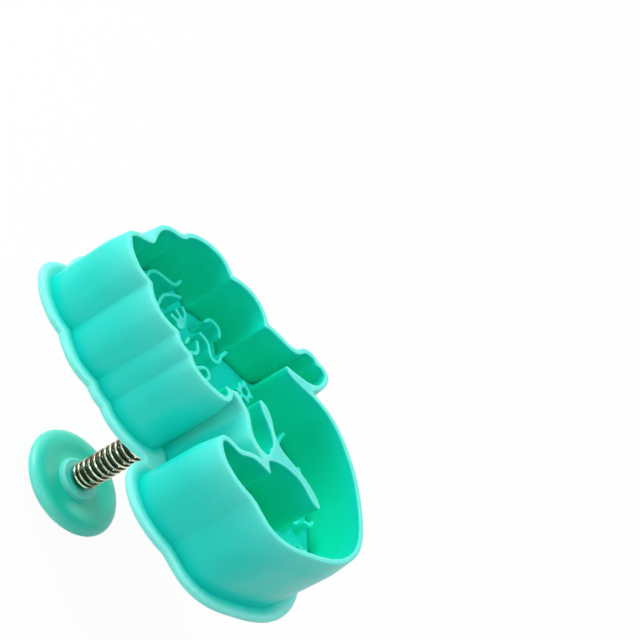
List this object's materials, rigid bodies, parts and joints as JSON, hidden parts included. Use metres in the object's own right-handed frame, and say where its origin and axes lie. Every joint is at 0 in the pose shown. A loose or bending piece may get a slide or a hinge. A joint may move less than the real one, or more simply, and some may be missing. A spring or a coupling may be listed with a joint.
{
  "type": "plunger cookie cutter",
  "caption": "Mermaid-shaped plunger cookie cutter: pressing the sprung knob drives a relief stamp inside the cutting wall, which embosses the dough and pushes it out.",
  "frame": {"origin": "middle of the knob's palm face, on the plunger's axis", "axes": "+Z along the plunger from the knob to the cutting edge, +Y towards the figure's head, +X to the right as seen from the cutting edge; the part stands on its knob with the cutting edge up"},
  "size_m": [0.0593, 0.0886, 0.057],
  "materials": {
    "turquoise_plastic": "satin moulded plastic, slightly translucent at thin edges",
    "spring_steel": "bright drawn wire"
  },
  "bodies": {
    "plunger": {"plunger_knob": "turquoise_plastic", "stamp": "turquoise_plastic", "return_spring": "spring_steel"},
    "cutter": {"cutter_shell": "turquoise_plastic"}
  },
  "joints": [
    {"name": "plunger_press", "type": "slide", "parent": "plunger", "child": "cutter", "axis": [0, 0, -1], "range_m": [0, 0.011], "stiffness_N_per_m": 1950, "springref_m": -0.002, "deforming": ["return_spring"]}
  ]
}
